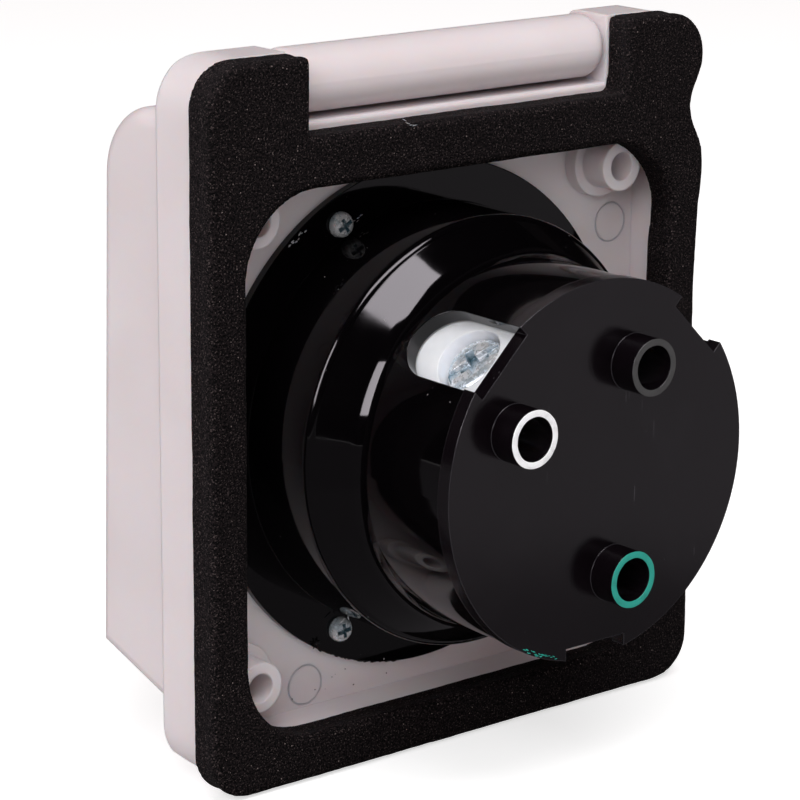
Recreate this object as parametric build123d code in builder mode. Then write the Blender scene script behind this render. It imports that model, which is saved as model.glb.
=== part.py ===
from build123d import *
import os
from math import cos, degrees, radians, sin, sqrt, tan

# Power inlet for a vehicle or boat wall, seen from behind.
# X runs across the flange, Z runs up, the front with the lid looks along -Y.
# The origin lies on the axis of the round body, in the plane where the foam touches the wall.
os.makedirs("parts", exist_ok=True)

# Flange
flange_width = 105.0
flange_below = 54.5
flange_corner = 9.0
flange_depth = 10.2
floor_thickness = 1.7
rim_wall = 3.0
underside_slope = 20.0
underside_wall_extra = 0.8
ear_round = 2.2
notch_edge_round = 0.9

# Foam seal
foam_thickness = 5.8
foam_bevel = 0.8
foam_notch_step = 1.6
foam_side_strip = 7.0
foam_top_strip = 7.6
foam_bottom_strip = 7.2
window_corner = 12.0

# Hinge
hinge_height = 61.0
ear_above_hinge = 5.5
hinge_setback = 10.3
barrel_radius = 5.5
barrel_end_round = 2.5
barrel_gap = 0.6
notch_half_width = 34.6
knuckle_side_gap = 0.4
pin_radius = 1.5
pin_fit = 0.06
pin_seat_fit = 0.02
pin_recess = 2.0
pin_blind_wall = 6.0
pin_end_gap = 0.5
pin_chamfer = 0.3

# Holes that hold the inlet on a wall
mount_pitch = 79.0
mount_hole_radius = 2.5
mount_boss_radius = 4.4
mount_boss_foot_radius = 6.2
mount_boss_foot_height = 2.6
mount_boss_setback = 0.6

# Collar and sealing ring round the body
collar_wall = 4.4
collar_height = 6.0
ring_groove_wall = 2.6
ring_groove_depth = 1.6
ring_side_fit = 0.3
ring_end_fit = 0.1

# Round body
body_flange_radius = 44.3
body_flange_thickness = 1.5
wall_radius = 37.1
shoulder_y = 2.9
shoulder_round = 1.4
shoulder_drop = 0.9
shoulder_lead = 1.0
shoulder_tail = 0.6
neck_radius = 32.6
neck_y = 8.0
neck_sweep = 1.4
barrel_wall_radius = 31.4
barrel_wall_y = 11.5
body_rear_y = 29.6
chamber_radius = 28.8
spigot_radius = 33.0
spigot_fit = 0.3
cup_radius = 30.0
cup_front_y = -24.0
cup_floor_front_y = -2.0
cup_floor_rear_y = 1.0

# Three small screws hold the round body in the flange
small_head_gap = 0.15
small_screw_angles = {"top": 63.0, "bottom": -63.0, "side": 180.0}
small_head_radius = 2.45
small_head_height = 1.9
small_head_bevel = 0.5
small_shank_radius = 1.3
small_screw_length = 6.4
small_thread_fit = 0.05
small_flange_fit = 0.2
small_pilot_extra = 0.6
small_post_wall = 1.0

# End plate and wire tubes
plate_radius = 31.7
plate_thickness = 2.7
notch_width = 12.8
notch_reach = 29.0
tube_outer_radius = 4.75
tube_inner_radius = 3.65
tube_height = 5.0
tube_places = {"neutral": (18.4, 9.6), "hot": (-6.8, 17.2), "ground": (-3.4, -17.8)}

# Terminals
terminal_angles = {"neutral": 45.0, "hot": 135.0, "ground": 270.0}
slot_width = 13.0
slot_end_y = 12.0
screw_y = 22.8
terminal_head_radius = 5.3
pocket_fit = 0.5
terminal_head_height = 3.0
terminal_head_seat = 24.2
terminal_head_bevel = 0.5
terminal_shank_radius = 2.1
terminal_thread_fit = 0.05
driver_slot_width = 1.3
driver_slot_depth = 1.3
shank_tip_inset = 0.2
clamp_thickness = 1.6
clamp_side = 7.8
clamp_hole_fit = 0.2

# Block and the plates that take the terminal screws
base_inner = 12.4
base_outer = 14.8
base_width = 9.6
base_front_gap = 0.1
base_rear_gap = 0.3
block_fit = 0.4
block_setback = 0.4
slot_fit = 0.2
wire_hole_fit = 0.5

# Blades
blade_angles = {"neutral": 30.0, "hot": 150.0, "ground": 270.0}
blade_inner = 12.6
blade_outer = 14.4
blade_half_span = {"neutral": 19.0, "hot": 17.0, "ground": 20.0}
blade_tip_y = -18.5
blade_root = 4.8
hook_reach = 3.0
hook_root = 0.5
hook_length = 3.2
hook_width = 5.0
lock_slot_setback = 7.5
lock_slot_length = 3.2
lock_slot_width = 4.4

# Lid
lid_half_width = 50.0
lid_wall = 2.4
lid_gap = 0.3
lid_top_below_hinge = 4.4
lid_top_front_y = -36.0
lid_front_bottom_y = -38.8
lid_bottom_front = -38.0
lid_bottom_rear = -44.8
lid_top_round = 12.5
lid_corner = 3.0
arm_side_step = 3.0
arm_top_drop = 1.6
arm_root = 7.0
arm_root_rise = 0.8
seal_lap = 2.5
seal_breadth = 2.6
seal_wall = 1.6
seal_height = 5.0
seal_side_fit = 0.05
seal_gap = 0.3
channel_gap = 1.2

# Edges this near a plane count as lying in it
edge_reach = 0.01

# Values that follow from the ones above
rim_rear_y = -foam_thickness
flange_front_y = rim_rear_y - flange_depth
floor_y = flange_front_y + floor_thickness
body_flange_rear_y = floor_y + body_flange_thickness
flange_above = hinge_height + ear_above_hinge
flange_height = flange_above + flange_below
flange_middle = (flange_above - flange_below) / 2
mount_boss_rear_y = rim_rear_y - mount_boss_setback
plate_rear_y = body_rear_y + plate_thickness
tube_rear_y = plate_rear_y + tube_height
housing_notch_floor = hinge_height - barrel_radius - barrel_gap
foam_notch_floor = housing_notch_floor - foam_notch_step
window_width = flange_width - 2 * foam_side_strip
window_top = foam_notch_floor - foam_top_strip
window_bottom = foam_bottom_strip - flange_below
bottom_rise = flange_depth * tan(radians(underside_slope))
recess_half_width = flange_width / 2 - rim_wall
recess_top = housing_notch_floor - rim_wall
recess_bottom = -(flange_below - bottom_rise - rim_wall + underside_wall_extra)
recess_corner = flange_corner - rim_wall
spigot_hole_radius = spigot_radius + spigot_fit
collar_radius = spigot_hole_radius + collar_wall
collar_front_y = flange_front_y - collar_height
ring_groove_radius = spigot_radius + ring_groove_wall
seal_inner = collar_radius - seal_lap
seal_outer = seal_inner + seal_breadth
small_screw_circle = wall_radius + small_head_gap + small_head_radius
small_pilot_depth = small_screw_length - body_flange_thickness + small_pilot_extra
small_screw_places = {
    name: (small_screw_circle * cos(radians(angle)), small_screw_circle * sin(radians(angle)))
    for name, angle in small_screw_angles.items()
}
hinge_y = -hinge_setback
barrel_half_length = notch_half_width - knuckle_side_gap
arm_half_width = barrel_half_length - arm_side_step
lid_top = hinge_height - lid_top_below_hinge
lid_rear_y = flange_front_y - lid_gap
channel_rear_y = collar_front_y - channel_gap
channel_floor_y = channel_rear_y - seal_height
seal_rear_y = collar_front_y - seal_gap
pocket_radius = terminal_head_radius + pocket_fit
block_radius = chamber_radius - block_fit
block_rear_y = body_rear_y - block_setback
base_middle = (base_inner + base_outer) / 2
base_rear_y = block_rear_y - base_rear_gap
base_front_y = cup_floor_rear_y + base_front_gap
blade_root_y = cup_floor_rear_y + blade_root


def facing(y):
    """Gives a plane across the Y axis whose sketches grow toward the front."""
    return Plane.XZ.offset(-y)


def radial(angle, reach):
    """Gives a plane that looks outward along a radius, with its middle above the wall plane's axis."""
    direction = (cos(radians(angle)), 0, sin(radians(angle)))
    place = (reach * direction[0], 0, reach * direction[2])
    return Plane(origin=place, x_dir=(0, 1, 0), z_dir=direction)


def outward(angle, reach):
    """Gives the place at an angle and a reach from a sketch's middle, turned outward."""
    return Location((reach * cos(radians(angle)), reach * sin(radians(angle))), angle)


def draw_blade(name, clearance):
    """Draws the curved section of a blade, widened by a clearance, in the current sketch."""
    half = blade_half_span[name] + degrees(clearance / blade_inner)
    far = 3 * blade_outer
    low = outward(blade_angles[name] - half, far).position
    high = outward(blade_angles[name] + half, far).position
    Circle(blade_outer + clearance)
    Circle(blade_inner - clearance, mode=Mode.SUBTRACT)
    Polygon((0, 0), (low.X, low.Y), (high.X, high.Y), align=None, mode=Mode.INTERSECT)


def draw_lid_side(inset):
    """Draws the side outline of the lid, moved inward by an inset, in the current line."""
    lean = (lid_bottom_rear - lid_bottom_front) / (lid_rear_y - lid_front_bottom_y)
    rise = inset * sqrt(1 + lean ** 2)
    open_y = lid_rear_y + inset
    front_y = lid_front_bottom_y + inset
    rear = (open_y, lid_top - inset)
    round_start = (lid_top_front_y + lid_top_round, lid_top - inset)
    round_end = (lid_top_front_y + inset, lid_top - lid_top_round)
    low = (front_y, lid_bottom_front + lean * inset + rise)
    back = (open_y, lid_bottom_front + lean * (open_y - lid_front_bottom_y) + rise)
    Line(rear, round_start)
    RadiusArc(round_start, round_end, inset - lid_top_round)
    Line(round_end, low)
    Line(low, back)
    Line(back, rear)


# Foam seal behind the flange
with BuildPart() as wall_gasket:
    with BuildSketch(facing(0)):
        with Locations((0, flange_middle)):
            RectangleRounded(flange_width, flange_height, flange_corner)
        with Locations((0, (window_top + window_bottom) / 2)):
            RectangleRounded(window_width, window_top - window_bottom, window_corner, mode=Mode.SUBTRACT)
        with Locations((0, foam_notch_floor)):
            Rectangle(2 * notch_half_width, flange_height, align=(Align.CENTER, Align.MIN), mode=Mode.SUBTRACT)
    extrude(amount=foam_thickness)
    chamfer(wall_gasket.edges().group_by(Axis.Y)[-1], foam_bevel)
wall_gasket.part.label = "wall_gasket"
export_step(wall_gasket.part, "parts/wall_gasket.step")

# White housing with its rim, ears, screw posts and collar
with BuildPart() as flange_housing:
    with BuildSketch(facing(rim_rear_y)):
        with Locations((0, flange_middle)):
            RectangleRounded(flange_width, flange_height, flange_corner)
    extrude(amount=flange_depth)
    # The underside rises toward the front
    with BuildSketch(Plane.YZ):
        with BuildLine():
            Polyline(
                (rim_rear_y, -flange_below),
                (flange_front_y, -flange_below + bottom_rise),
                (flange_front_y - rim_wall, -flange_below + bottom_rise),
                (flange_front_y - rim_wall, -flange_below - rim_wall),
                (rim_rear_y, -flange_below - rim_wall),
                close=True,
            )
        make_face()
    extrude(amount=flange_width, both=True, mode=Mode.SUBTRACT)
    # The ears have a small round in front of their flat top
    with BuildSketch(Plane.YZ):
        with Locations((flange_front_y + ear_round, flange_above - ear_round)):
            Rectangle(2 * ear_round, 2 * ear_round, align=(Align.MAX, Align.MIN))
            Circle(ear_round, mode=Mode.SUBTRACT)
    extrude(amount=flange_width, both=True, mode=Mode.SUBTRACT)
    # Space for the hinge barrel between the ears
    with BuildSketch(facing(rim_rear_y)):
        with Locations((0, housing_notch_floor)):
            Rectangle(2 * notch_half_width, flange_height, align=(Align.CENTER, Align.MIN))
    extrude(amount=flange_depth, mode=Mode.SUBTRACT)
    level_faces = flange_housing.faces().filter_by(Axis.Z)
    notch_floor = level_faces.sort_by(lambda f: abs(f.center().Z - housing_notch_floor))[0]
    fillet(notch_floor.edges().sort_by(Axis.Y)[-1], notch_edge_round)
    # Recess behind the flange
    with BuildSketch(facing(rim_rear_y)):
        with Locations((0, (recess_top + recess_bottom) / 2)):
            RectangleRounded(2 * recess_half_width, recess_top - recess_bottom, recess_corner)
    extrude(amount=flange_depth - floor_thickness, mode=Mode.SUBTRACT)
    # Posts for the wall screws stand on a wider foot
    with BuildSketch(facing(mount_boss_rear_y)):
        with GridLocations(mount_pitch, mount_pitch, 2, 2):
            Circle(mount_boss_radius)
    extrude(amount=mount_boss_rear_y - floor_y)
    with BuildSketch(facing(floor_y + mount_boss_foot_height)):
        with GridLocations(mount_pitch, mount_pitch, 2, 2):
            Circle(mount_boss_foot_radius)
    extrude(amount=mount_boss_foot_height)
    # Collar and screw posts on the front, under the lid
    with BuildSketch(facing(flange_front_y)):
        Circle(collar_radius)
        with Locations(*small_screw_places.values()):
            Circle(small_head_radius + small_post_wall)
    extrude(amount=collar_height)
    # Opening for the round body, with a seat for its sealing ring
    with BuildSketch(facing(floor_y)):
        Circle(spigot_hole_radius)
    extrude(amount=floor_y - collar_front_y, mode=Mode.SUBTRACT)
    with BuildSketch(facing(floor_y)):
        Circle(ring_groove_radius)
    extrude(amount=ring_groove_depth, mode=Mode.SUBTRACT)
    with BuildSketch(facing(rim_rear_y)):
        with GridLocations(mount_pitch, mount_pitch, 2, 2):
            Circle(mount_hole_radius)
    extrude(amount=flange_depth, mode=Mode.SUBTRACT)
    with BuildSketch(facing(floor_y)):
        with Locations(*small_screw_places.values()):
            Circle(small_shank_radius + small_thread_fit)
    extrude(amount=small_pilot_depth, mode=Mode.SUBTRACT)
    # Hinge pin hole, open at one side only
    with BuildSketch(Plane.YZ.offset(flange_width / 2 - pin_blind_wall)):
        with Locations((hinge_y, hinge_height)):
            Circle(pin_radius + pin_seat_fit)
    extrude(amount=-flange_width, mode=Mode.SUBTRACT)
flange_housing.part.label = "flange_housing"
export_step(flange_housing.part, "parts/flange_housing.step")

# Hinge pin
with BuildPart() as hinge_pin:
    with BuildSketch(Plane.YZ.offset(pin_recess - flange_width / 2)):
        with Locations((hinge_y, hinge_height)):
            Circle(pin_radius)
    extrude(amount=flange_width - pin_recess - pin_blind_wall - pin_end_gap)
    chamfer(hinge_pin.edges().filter_by(GeomType.CIRCLE), pin_chamfer)
hinge_pin.part.label = "hinge_pin"
export_step(hinge_pin.part, "parts/hinge_pin.step")

# Lid with its hinge barrel and the channel for its seal
with BuildPart() as lid:
    # The outer wall of the channel runs to the front of the lid
    with BuildSketch(facing(channel_rear_y)):
        Circle(seal_outer + seal_wall)
        Circle(seal_outer, mode=Mode.SUBTRACT)
    extrude(amount=flange_height)
    with BuildSketch(Plane.YZ):
        with BuildLine():
            draw_lid_side(0)
        make_face()
    extrude(amount=lid_half_width, both=True, mode=Mode.INTERSECT)
    with BuildSketch(facing(channel_rear_y)):
        Circle(seal_inner)
        Circle(seal_inner - seal_wall, mode=Mode.SUBTRACT)
    extrude(amount=seal_height + seal_wall)
    with BuildSketch(facing(channel_floor_y)):
        Circle(seal_outer + seal_wall / 2)
        Circle(seal_inner - seal_wall, mode=Mode.SUBTRACT)
    extrude(amount=seal_wall)
    # Top, front and underside of the lid, then its two sides
    with BuildSketch(Plane.YZ):
        with BuildLine():
            draw_lid_side(0)
        make_face()
        with BuildLine():
            draw_lid_side(lid_wall)
        make_face(mode=Mode.SUBTRACT)
    extrude(amount=lid_half_width, both=True)
    for side in (1, -1):
        with BuildSketch(Plane.YZ.offset(side * (lid_half_width - lid_wall))):
            with BuildLine():
                draw_lid_side(0)
            make_face()
        extrude(amount=side * lid_wall)
    side_edges = lid.edges().filter_by(lambda e: abs(abs(e.center().X) - lid_half_width) < edge_reach)
    fillet(side_edges.filter_by(lambda e: e.center().Y < lid_rear_y - lid_wall / 2), lid_corner)
    # Barrel with rounded ends
    with BuildSketch(Plane.YZ):
        with Locations((hinge_y, hinge_height)):
            Circle(barrel_radius)
    extrude(amount=barrel_half_length, both=True)
    ends = lid.edges().filter_by(lambda e: abs(abs(e.center().X) - barrel_half_length) < edge_reach)
    fillet(ends.filter_by(GeomType.CIRCLE), barrel_end_round)
    # Arm from the lid to the barrel
    with BuildSketch(Plane.YZ):
        with BuildLine():
            Polyline(
                (hinge_y, hinge_height + barrel_radius),
                (hinge_y - barrel_radius, hinge_height + barrel_radius - arm_top_drop),
                (lid_rear_y - arm_root, lid_top),
                (lid_rear_y - arm_root, lid_top - lid_wall),
                (lid_rear_y, lid_top - lid_wall + arm_root_rise),
                (hinge_y, hinge_height - barrel_radius),
                close=True,
            )
        make_face()
    extrude(amount=arm_half_width, both=True)
    with BuildSketch(Plane.YZ):
        with Locations((hinge_y, hinge_height)):
            Circle(pin_radius + pin_fit)
    extrude(amount=flange_width, both=True, mode=Mode.SUBTRACT)
lid.part.label = "lid"
export_step(lid.part, "parts/lid.step")

# Ring seal in the lid
with BuildPart() as lid_seal:
    with BuildSketch(facing(seal_rear_y)):
        Circle(seal_outer - seal_side_fit)
        Circle(seal_inner + seal_side_fit, mode=Mode.SUBTRACT)
    extrude(amount=seal_rear_y - channel_floor_y)
lid_seal.part.label = "lid_seal"
export_step(lid_seal.part, "parts/lid_seal.step")

# Round black body: profile turned about its axis, then windows and holes
with BuildPart() as inlet_body:
    with BuildSketch(Plane.XY):
        with BuildLine():
            Polyline(
                (cup_radius, cup_front_y),
                (spigot_radius, cup_front_y),
                (spigot_radius, floor_y),
                (body_flange_radius, floor_y),
                (body_flange_radius, body_flange_rear_y),
                (wall_radius, body_flange_rear_y),
                (wall_radius, shoulder_y - shoulder_lead),
            )
            shoulder_end = (wall_radius - shoulder_drop, shoulder_y + shoulder_tail)
            RadiusArc((wall_radius, shoulder_y - shoulder_lead), shoulder_end, -shoulder_round)
            Line(shoulder_end, (neck_radius, neck_y))
            neck_bend = (barrel_wall_radius, neck_y + neck_sweep)
            Bezier((neck_radius, neck_y), neck_bend, (barrel_wall_radius, barrel_wall_y))
            Polyline(
                (barrel_wall_radius, barrel_wall_y),
                (barrel_wall_radius, body_rear_y),
                (chamber_radius, body_rear_y),
                (chamber_radius, cup_floor_rear_y),
                (0, cup_floor_rear_y),
                (0, cup_floor_front_y),
                (cup_radius, cup_floor_front_y),
                (cup_radius, cup_front_y),
            )
        make_face()
    revolve(axis=Axis.Y)
    # Windows for the terminal screws, open toward the end plate
    for angle in terminal_angles.values():
        with BuildSketch(radial(angle, chamber_radius - rim_wall)):
            with Locations((slot_end_y + slot_width / 2, 0)):
                Circle(slot_width / 2)
                Rectangle(body_rear_y, slot_width, align=(Align.MIN, Align.CENTER))
        extrude(amount=barrel_wall_radius, mode=Mode.SUBTRACT)
    with BuildSketch(facing(body_flange_rear_y)):
        with Locations(*small_screw_places.values()):
            Circle(small_shank_radius + small_flange_fit)
    extrude(amount=body_flange_thickness, mode=Mode.SUBTRACT)
    # Slots for the blades in the floor of the cup
    for name in blade_angles:
        with BuildSketch(facing(cup_floor_rear_y)):
            draw_blade(name, slot_fit)
        extrude(amount=cup_floor_rear_y - cup_floor_front_y, mode=Mode.SUBTRACT)
inlet_body.part.label = "inlet_body"
export_step(inlet_body.part, "parts/inlet_body.step")

# Sealing ring around the body's spigot
with BuildPart() as body_seal:
    with BuildSketch(facing(floor_y - ring_end_fit)):
        Circle(ring_groove_radius - ring_side_fit)
        Circle(spigot_radius + ring_side_fit, mode=Mode.SUBTRACT)
    extrude(amount=ring_groove_depth - ring_end_fit)
body_seal.part.label = "body_seal"
export_step(body_seal.part, "parts/body_seal.step")

# End plate with three rim notches and three wire tubes
with BuildPart() as end_plate:
    with BuildSketch(facing(plate_rear_y)):
        Circle(plate_radius)
        with Locations(*[outward(angle, notch_reach) for angle in terminal_angles.values()]):
            Rectangle(plate_radius, notch_width, align=(Align.MIN, Align.CENTER), mode=Mode.SUBTRACT)
    extrude(amount=plate_thickness)
    with BuildSketch(facing(tube_rear_y)):
        with Locations(*tube_places.values()):
            Circle(tube_outer_radius)
    extrude(amount=tube_height)
    with BuildSketch(facing(tube_rear_y)):
        with Locations(*tube_places.values()):
            Circle(tube_inner_radius)
    extrude(amount=tube_height + plate_thickness, mode=Mode.SUBTRACT)
end_plate.part.label = "end_plate"
export_step(end_plate.part, "parts/end_plate.step")

# White nylon block that carries the terminals
with BuildPart() as terminal_block:
    with BuildSketch(facing(block_rear_y)):
        Circle(block_radius)
    extrude(amount=block_rear_y - cup_floor_rear_y)
    for angle in terminal_angles.values():
        with BuildSketch(radial(angle, base_inner - slot_fit)):
            with Locations((screw_y, 0)):
                Circle(pocket_radius)
        extrude(amount=block_radius, mode=Mode.SUBTRACT)
        # Slot for the terminal's base plate
        with BuildSketch(facing(block_rear_y)):
            with Locations(outward(angle, base_middle)):
                Rectangle(base_outer - base_inner + 2 * slot_fit, base_width + 2 * slot_fit)
        extrude(amount=block_rear_y - cup_floor_rear_y, mode=Mode.SUBTRACT)
    for name in blade_angles:
        with BuildSketch(facing(blade_root_y + slot_fit)):
            draw_blade(name, slot_fit)
        extrude(amount=blade_root + slot_fit, mode=Mode.SUBTRACT)
    with BuildSketch(facing(block_rear_y)):
        with Locations(*tube_places.values()):
            Circle(tube_inner_radius + wire_hole_fit)
    extrude(amount=block_rear_y - screw_y + pocket_radius, mode=Mode.SUBTRACT)
terminal_block.part.label = "terminal_block"
export_step(terminal_block.part, "parts/terminal_block.step")

# Blades: a curved blade in the cup and a flat plate with the terminal's thread
for name, angle in blade_angles.items():
    turn = terminal_angles[name]
    with BuildPart() as blade:
        with BuildSketch(facing(blade_root_y)):
            draw_blade(name, 0)
        extrude(amount=blade_root_y - blade_tip_y)
        # The ground blade has a hook at its tip, the others a locking slot
        if name == "ground":
            with BuildSketch(facing(blade_tip_y + hook_length)):
                with Locations(outward(angle, blade_outer - hook_root)):
                    Rectangle(hook_reach + hook_root, hook_width, align=(Align.MIN, Align.CENTER))
            extrude(amount=hook_length)
        else:
            with BuildSketch(radial(angle, 0)):
                with Locations((blade_tip_y + lock_slot_setback, 0)):
                    Rectangle(lock_slot_length, lock_slot_width)
            extrude(amount=2 * blade_outer, mode=Mode.SUBTRACT)
        with BuildSketch(facing(base_rear_y)):
            with Locations(outward(turn, base_middle)):
                Rectangle(base_outer - base_inner, base_width)
        extrude(amount=base_rear_y - base_front_y)
        with BuildSketch(radial(turn, 0)):
            with Locations((screw_y, 0)):
                Circle(terminal_shank_radius + terminal_thread_fit)
        extrude(amount=2 * base_outer, mode=Mode.SUBTRACT)
    blade.part.label = name + "_blade"
    export_step(blade.part, "parts/" + name + "_blade.step")

    # Square clamp plate under the head of the terminal screw
    with BuildPart() as clamp:
        with BuildSketch(radial(turn, terminal_head_seat - clamp_thickness)):
            with Locations((screw_y, 0)):
                Rectangle(clamp_side, clamp_side)
                Circle(terminal_shank_radius + clamp_hole_fit, mode=Mode.SUBTRACT)
        extrude(amount=clamp_thickness)
    clamp.part.label = name + "_clamp"
    export_step(clamp.part, "parts/" + name + "_clamp.step")

    # Terminal screw with a slot across its head
    with BuildPart() as terminal_screw:
        with BuildSketch(radial(turn, base_inner + shank_tip_inset)):
            with Locations((screw_y, 0)):
                Circle(terminal_shank_radius)
        extrude(amount=terminal_head_seat - base_inner - shank_tip_inset)
        with BuildSketch(radial(turn, terminal_head_seat)):
            with Locations((screw_y, 0)):
                Circle(terminal_head_radius)
        extrude(amount=terminal_head_height)
        rims = terminal_screw.edges().filter_by(GeomType.CIRCLE)
        chamfer(rims.sort_by(lambda e: Vector(e.center().X, 0, e.center().Z).length)[-1], terminal_head_bevel)
        with BuildSketch(radial(turn, terminal_head_seat + terminal_head_height)):
            with Locations((screw_y, 0)):
                Rectangle(3 * terminal_head_radius, driver_slot_width)
        extrude(amount=-driver_slot_depth, mode=Mode.SUBTRACT)
    terminal_screw.part.label = name + "_screw"
    export_step(terminal_screw.part, "parts/" + name + "_screw.step")

# Three small screws through the body's flange
for name, place in small_screw_places.items():
    with BuildPart() as body_screw:
        with BuildSketch(facing(body_flange_rear_y + small_head_height)):
            with Locations(place):
                Circle(small_head_radius)
        extrude(amount=small_head_height)
        chamfer(body_screw.edges().group_by(Axis.Y)[-1], small_head_bevel)
        with BuildSketch(facing(body_flange_rear_y)):
            with Locations(place):
                Circle(small_shank_radius)
        extrude(amount=small_screw_length)
    body_screw.part.label = "body_screw_" + name
    export_step(body_screw.part, "parts/body_screw_" + name + ".step")
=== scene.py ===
"""Dresses a power inlet: white housing and lid, glossy black body, foam wall gasket."""

import logging
import math
import random
from dataclasses import dataclass, field
from enum import Enum
from functools import cached_property

import bmesh
import bpy
from mathutils import Matrix, Vector, noise


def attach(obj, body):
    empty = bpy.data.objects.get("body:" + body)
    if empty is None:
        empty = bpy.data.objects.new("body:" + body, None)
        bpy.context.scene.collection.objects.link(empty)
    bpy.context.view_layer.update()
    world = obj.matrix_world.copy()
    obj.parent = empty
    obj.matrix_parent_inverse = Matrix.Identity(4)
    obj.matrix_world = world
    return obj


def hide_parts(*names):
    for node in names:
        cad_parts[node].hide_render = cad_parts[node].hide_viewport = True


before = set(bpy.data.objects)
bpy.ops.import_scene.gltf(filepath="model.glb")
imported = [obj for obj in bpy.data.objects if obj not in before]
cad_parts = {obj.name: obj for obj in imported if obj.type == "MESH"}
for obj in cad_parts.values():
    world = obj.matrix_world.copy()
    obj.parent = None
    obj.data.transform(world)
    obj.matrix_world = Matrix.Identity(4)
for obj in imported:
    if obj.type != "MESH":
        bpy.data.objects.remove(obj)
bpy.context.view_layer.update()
MM = 0.001
Colour = tuple[float, float, float, float]
Pair = tuple[float, float]
Spot = tuple[float, float, float]
Node, Socket, Tree, Thing = bpy.types.Node, bpy.types.NodeSocket, bpy.types.NodeTree, bpy.types.Object
REARWARD = (0.0, 1.0, 0.0)
WHITE = (1.0, 1.0, 1.0, 1.0)
SQUARE = ((-1, -1), (1, -1), (1, 1), (-1, 1))
log = logging.getLogger("power_inlet")


def tint(red: int, green: int, blue: int) -> Colour:
    """Turns a screen colour into the linear colour that a shader takes.

    Args:
        red, green, blue: Screen values from 0 to 255.
    Returns:
        The colour as linear red, green, blue and an alpha of 1.
    """
    parts = [v / 255 for v in (red, green, blue)]
    linear = [v / 12.92 if v <= 0.04045 else ((v + 0.055) / 1.055) ** 2.4 for v in parts]
    return (linear[0], linear[1], linear[2], 1.0)


def heading(azimuth: float, elevation: float) -> Vector:
    """Gives the direction from the inlet toward a place around it.

    Args:
        azimuth: Degrees round the Z axis, 0 in front of the lid and 90 on the +X side.
        elevation: Degrees above the horizon.
    Returns:
        A unit vector.
    """
    a, e = math.radians(azimuth), math.radians(elevation)
    return Vector((math.sin(a) * math.cos(e), -math.cos(a) * math.cos(e), math.sin(e)))


class Graph:
    """Short calls that add and join the nodes of one material or geometry tree."""

    def __init__(self, tree: Tree) -> None:
        """Keeps the tree that the calls work on.

        Args:
            tree: The tree.
        """
        self.tree = tree

    def feed(self, socket: Socket, value: object) -> None:
        """Joins a node or output to a socket, or sets the socket's own value.

        Args:
            socket: The input to fill.
            value: A node, an output socket or a plain value.
        """
        if isinstance(value, Node):
            value = value.outputs[0]
        if isinstance(value, Socket):
            self.tree.links.new(value, socket)
        else:
            socket.default_value = value

    def fill(self, node: Node, sockets: dict) -> None:
        """Fills several inputs of a node.

        Args:
            node: The node.
            sockets: Values or outputs for its inputs, by name or number.
        """
        for name, value in sockets.items():
            self.feed(node.inputs[name], value)

    def add(self, kind: str, sockets: dict | None = None, **settings: object) -> Node:
        """Adds one node.

        Args:
            kind: The node's type name.
            sockets: Values or outputs for its inputs, by name or number.
            settings: The node's own options.
        Returns:
            The node.
        """
        node = self.tree.nodes.new(kind)
        for name, value in settings.items():
            setattr(node, name, value)
        self.fill(node, sockets or {})
        return node

    def calc(self, operation: str, *values: object) -> Socket:
        """Adds a Math node.

        Args:
            operation: The name of the sum, such as MULTIPLY.
            values: Up to three numbers or outputs.
        Returns:
            The result's socket.
        """
        return self.add("ShaderNodeMath", dict(enumerate(values)), operation=operation).outputs[0]

    def span(self, value: object, low: float, high: float, start: float = 0.0, end: float = 1.0) -> Socket:
        """Carries a value smoothly from one range to another.

        Args:
            value: The output to read.
            low, high: The range that is read.
            start, end: The range that is given.
        Returns:
            The result's socket.
        """
        sockets = {"Value": value, "From Min": low, "From Max": high, "To Min": start, "To Max": end}
        return self.add("ShaderNodeMapRange", sockets, interpolation_type="SMOOTHSTEP").outputs["Result"]

    def blend(self, share: object, first: object, second: object) -> Socket:
        """Mixes two colours.

        Args:
            share: How much of the second colour shows, from 0 to 1.
            first, second: Colours or outputs.
        Returns:
            The mixed colour's socket.
        """
        return self.add("ShaderNodeMix", {0: share, 6: first, 7: second}, data_type="RGBA").outputs[2]


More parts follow.
